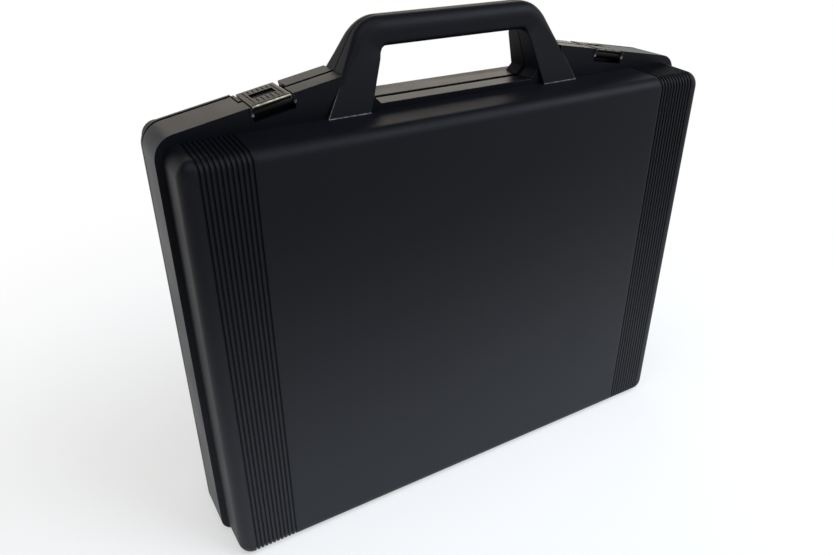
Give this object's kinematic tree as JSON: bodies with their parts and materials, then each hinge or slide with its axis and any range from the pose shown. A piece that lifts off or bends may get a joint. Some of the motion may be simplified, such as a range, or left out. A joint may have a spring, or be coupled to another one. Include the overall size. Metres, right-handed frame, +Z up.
{
  "type": "hard knife case",
  "caption": "Standing hard case for kitchen knives: two moulded half shells hinged at the bottom, a carrying handle split between them, two snap latches and foam with knife pockets.",
  "frame": {"origin": "on the floor under the middle of the standing case's overall box", "axes": "+X along the case to its right seen from the front, +Y from the front shell to the lid, +Z up"},
  "size_m": [0.435, 0.104, 0.384],
  "materials": {
    "shell": "fine moulded texture, black",
    "latch": "satin black",
    "steel": "plain steel pin",
    "foam": "charcoal open-cell foam"
  },
  "bodies": {
    "base": {"front_shell": "shell", "latch_pin_left": "steel", "latch_pin_right": "steel", "hinge_pin_left": "steel", "hinge_pin_right": "steel", "foam_back_layer": "foam", "foam_knife_tray": "foam"},
    "lid": {"lid_shell": "shell", "lid_foam": "foam"},
    "latch_left": {"latch_left": "latch"},
    "latch_right": {"latch_right": "latch"}
  },
  "joints": [
    {"name": "lid_hinge", "type": "hinge", "parent": "base", "child": "lid", "pos_m": [0, 0.0163, 0.0042], "axis": [-1, 0, 0], "range_deg": [0, 100]},
    {"name": "latch_left_hinge", "type": "hinge", "parent": "base", "child": "latch_left", "pos_m": [-0.14046, -0.0135, 0.33816], "axis": [0.9842, 0, 0.1772], "range_deg": [0, 110]},
    {"name": "latch_right_hinge", "type": "hinge", "parent": "base", "child": "latch_right", "pos_m": [0.14046, -0.0135, 0.33816], "axis": [0.9842, 0, -0.1772], "range_deg": [0, 110]}
  ]
}
